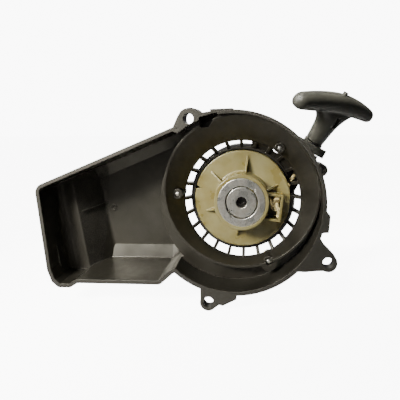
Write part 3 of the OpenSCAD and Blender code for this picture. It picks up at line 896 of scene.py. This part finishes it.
class STARTER_OT_rope(bpy.types.Operator):
    """Makes the rope: its turns on the reel, its run to the guide and the length that a pull draws out"""

    bl_idname = "starter.rope"
    bl_label = "Rope"

    def execute(self, context):
        radius = sizes().rope_diameter / 2
        low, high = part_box("rope_winding")
        layer, layers = 3 * MM, 3
        coil = new_piece("rope_turns", bmesh.new())
        run_tree(
            coil, rope_coil_tree(), Rope_diameter=layer, Groove_front=low.y,
            Drum_radius=high.x - layers * layer, Material=bpy.data.materials["braided_rope"],
        )
        coil.data.shade_smooth()
        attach(coil, "reel")
        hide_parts("rope_winding")

        place = handle_frame()
        up = (place.to_3x3() @ Vector((0, 0, 1))).normalized()
        bend = [SWIVEL - ROPE_DIRECTION * d * MM for d in (44, 36, 28, 20, 12, 6, 3, 1.2)]
        start, end = (SWIVEL + up * height for height in DRAWN_ENDS)
        bend += [SWIVEL + up * 1.2 * MM, start]
        self.tube("rope_to_guide", smooth_route([TANGENT_POINT, *bend], 14), radius, "root", "rope_run")

        travel = joint("handle_pull")["range_m"][1]
        steps = 160
        route, stations = [], []
        for i in range(steps + 1):
            t = i / steps
            route.append(start.lerp(end, t))
            stations.append(t * t * (3 - 2 * t) * travel)
        bm = bmesh.new()
        add_rope(bm, route, radius, stations=stations)
        drawn = finish(new_piece("rope_drawn_out", bm), "braided_rope", 60)
        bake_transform(drawn)

        held = [end, place @ Vector((0, 0, HELD_END))]
        self.tube("rope_in_handle", smooth_route(held, 80), radius, "handle", "rope_lead")
        return {"FINISHED"}

    def tube(self, name, route, radius, body, node):
        """A length of rope along a route, in place of a node."""
        bm = bmesh.new()
        add_rope(bm, route, radius)
        rope_piece(name, bm, body, node)


class STARTER_OT_knots(bpy.types.Operator):
    """Ties the rope's stopper knots in the reel's pocket and in the handle"""

    bl_idname = "starter.knots"
    bl_label = "Knots"

    def execute(self, context):
        radius = sizes().rope_diameter / 2
        low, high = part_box("reel_knot")
        right, up = Vector((1, 0, 0)), Vector((0, 0, 1))
        middle = Vector(((low.x + high.x) / 2 + 0.2 * MM, 15.0 * MM, -1.6 * MM))
        bm = bmesh.new()
        add_rope(bm, knot_route(middle, 1.4 * MM, right, up, 0.8), radius)
        tail = [(-1, -0.5, 1), (1.2, -1.6, -2), (2.6, -2.0, -4.6), (2.7, -1.6, -7.2), (2.0, -0.8, -9.2)]
        add_rope(bm, smooth_route([middle + Vector(p) * MM for p in tail]), radius)
        entry = [(0, 0.5, -1), (-0.2, 3, -1.6), (0, 6, -1.6), (0.2, 9.5, -1.6)]
        add_rope(bm, smooth_route([middle + Vector(p) * MM for p in entry]), radius)
        rope_piece("reel_knot_rope", bm, "reel", "reel_knot")

        low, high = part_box("handle_knot")
        middle = (low + high) / 2
        turned = handle_frame().to_3x3()
        bm = bmesh.new()
        route = knot_route(middle, 0.86 * MM, turned @ Vector((1, 0, 0)), turned @ Vector((0, 0, 1)))
        add_rope(bm, route, radius * 0.9)
        rope_piece("handle_knot_rope", bm, "handle", "handle_knot")
        return {"FINISHED"}


class STARTER_OT_handle(bpy.types.Operator):
    """Moulds the pull handle: a drooping cross bar that flows into a hollow stem"""

    bl_idname = "starter.handle"
    bl_label = "Handle"

    def execute(self, context):
        place = handle_frame()
        bm = bmesh.new()
        add_loft(bm, self.bar(place))
        stem = []
        for height, wide, deep in STEM_SECTIONS:
            ring = (Vector((wide * x, deep * y, height)) for x, y in self.circle())
            stem.append([place @ (point * MM) for point in ring])
        add_loft(bm, stem)
        grip = new_piece("pull_handle", bm)
        fused = grip.modifiers.new("fused", "REMESH")
        fused.mode = "VOXEL"
        fused.voxel_size = 0.55 * MM
        soft = grip.modifiers.new("soft", "SMOOTH")
        soft.factor = 0.5
        soft.iterations = 14
        settle(grip)

        holes = bmesh.new()
        turn = place @ Matrix.Rotation(math.pi / 2, 4, "X")
        add_lathe(holes, [(radius * MM, height * MM) for radius, height in HANDLE_BORE], turn)
        for vertex in bmesh.ops.create_cube(holes, size=1)["verts"]:
            vertex.co = place @ ((WINDOW_MIDDLE + vertex.co * WINDOW_SIZE) * MM)
        cut_away(grip, holes)
        finish(grip, "grip_black", 38)
        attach(grip, "handle")
        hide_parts("handle_grip")
        return {"FINISHED"}

    def circle(self, sides=28):
        """Points of a circle of radius 1."""
        turns = (2 * math.pi * k / sides for k in range(sides))
        return [(math.cos(a), math.sin(a)) for a in turns]

    def bar(self, place, stations=44):
        """Rings of points along the cross bar, which thins and droops towards its round ends."""
        half_bar = sizes().bar_length / 2
        rings = []
        for i in range(1, stations):
            s = -math.cos(math.pi * i / stations)
            cap = math.sqrt(max(0.0, 1 - max(0.0, (abs(s) - 1 + BAR_CAP) / BAR_CAP) ** 2))
            tall = BAR_HALF_TALL * (1 - 0.30 * s * s) * cap * MM
            deep = BAR_HALF_DEEP * (1 - 0.22 * s * s) * cap * MM
            droop = BAR_DROOP * abs(s) ** 1.7
            middle = Vector((s * half_bar + BAR_OFFSET * MM, 0, (BAR_HEIGHT - droop) * MM))
            rings.append([
                place @ (middle + Vector((0, deep * bulge(x), tall * bulge(y)))) for x, y in self.circle()
            ])
        return rings


def bulge(value, power=0.86):
    """Makes a round section a little squarer."""
    return math.copysign(abs(value) ** power, value)


class STARTER_OT_stage(bpy.types.Operator):
    """Sets the floor, the soft studio lights and the camera"""

    bl_idname = "starter.stage"
    bl_label = "Stage"

    def execute(self, context):
        scene = context.scene
        bm = bmesh.new()
        bmesh.ops.create_grid(bm, x_segments=1, y_segments=1, size=3.0)
        bmesh.ops.translate(bm, verts=bm.verts, vec=(0, 0, LOWEST - 0.5 * MM))
        floor = new_piece("floor", bm)
        floor.data.materials.append(bpy.data.materials["pale_floor"])

        camera = bpy.data.objects.new("camera", bpy.data.cameras.new("camera"))
        scene.collection.objects.link(camera)
        camera.location = CAMERA_PLACE
        camera.rotation_euler = [math.radians(a) for a in CAMERA_TURN]
        camera.data.lens = CAMERA_LENS
        camera.data.shift_x, camera.data.shift_y = CAMERA_SHIFT
        camera.data.clip_start = 0.01
        scene.camera = camera

        self.light("key", (-0.27, -0.25, 0.20), 0.09, 0.60, (-0.08, 0.03, 0), 56)
        self.light("table", (-0.20, -0.24, 0.13), 0.20, 0.25, (-0.20, -0.24, -0.07))
        self.light("top", (-0.06, -0.16, 0.34), 0.07, 0.15, (0.065, 0.04, 0.065), 24)
        self.light("back", (-0.2, 0.55, 0.35), 0.40, 1.2)
        scene.world = self.studio()
        return {"FINISHED"}

    def light(self, name, place, size, power, aim=(-0.02, 0.02, 0), spread=180):
        """A square lamp with its side in metres, its power in watts and its spread in degrees."""
        lamp = bpy.data.lights.new(name, "AREA")
        lamp.size = size
        lamp.energy = power
        lamp.spread = math.radians(spread)
        lamp.color = LIGHT_COLOUR
        light = bpy.data.objects.new(name, lamp)
        bpy.context.scene.collection.objects.link(light)
        light.location = place
        light.visible_camera = False
        light.rotation_euler = (Vector(aim) - Vector(place)).to_track_quat("-Z", "Y").to_euler()

    def studio(self):
        """Soft surroundings: glossy faces mirror a bright side, and the camera sees a pale background."""
        world = bpy.data.worlds.new("studio")
        world.use_nodes = True
        tree = world.node_tree
        tree.nodes.clear()
        direction = tree.nodes.new("ShaderNodeTexCoord").outputs["Generated"]
        to_right, _, up = add_node(tree, "ShaderNodeSeparateXYZ", {0: direction}).outputs
        side = plus(tree, times(tree, to_right, -0.8), times(tree, up, 0.6))
        path = tree.nodes.new("ShaderNodeLightPath")
        bright = ranged(tree, side, -0.35, 0.6, 0.05, 0.7)
        mirrored = times(tree, bright, path.outputs["Is Glossy Ray"])
        soft = add_node(tree, "ShaderNodeBackground", {"Strength": plus(tree, mirrored, 0.02)})
        seen = add_node(
            tree, "ShaderNodeBackground", {"Color": (1, 1, 1, 1), "Strength": BACKGROUND_GLOW},
        )
        either = add_node(tree, "ShaderNodeMixShader", {
            0: path.outputs["Is Camera Ray"], 1: soft.outputs[0], 2: seen.outputs[0],
        })
        add_node(tree, "ShaderNodeOutputWorld", {0: either.outputs[0]})
        return world


class STARTER_PT_parts(bpy.types.Panel):
    """Lists the operators and the sizes"""

    bl_idname = "STARTER_PT_parts"
    bl_label = "Recoil Starter"
    bl_space_type = "VIEW_3D"
    bl_region_type = "UI"
    bl_category = "Starter"

    def draw(self, context):
        for settings in (context.scene.starter_sizes, context.scene.starter_colours):
            box = self.layout.box()
            for name in settings.__annotations__:
                box.prop(settings, name)
        for operator in STEPS:
            self.layout.operator(operator.bl_idname)


STEPS = (
    STARTER_OT_finishes,
    STARTER_OT_stage,
    STARTER_OT_cover_screws,
    STARTER_OT_rope,
    STARTER_OT_knots,
    STARTER_OT_handle,
)
CLASSES = (StarterSizes, StarterColours, *STEPS, STARTER_PT_parts)


def register():
    for cls in CLASSES:
        bpy.utils.register_class(cls)
    bpy.types.Scene.starter_sizes = bpy.props.PointerProperty(type=StarterSizes)
    bpy.types.Scene.starter_colours = bpy.props.PointerProperty(type=StarterColours)


def unregister():
    del bpy.types.Scene.starter_colours
    del bpy.types.Scene.starter_sizes
    for cls in reversed(CLASSES):
        bpy.utils.unregister_class(cls)


def main():
    register()
    for operator in STEPS:
        group, name = operator.bl_idname.split(".")
        getattr(getattr(bpy.ops, group), name)()


if __name__ == "__main__":
    main()
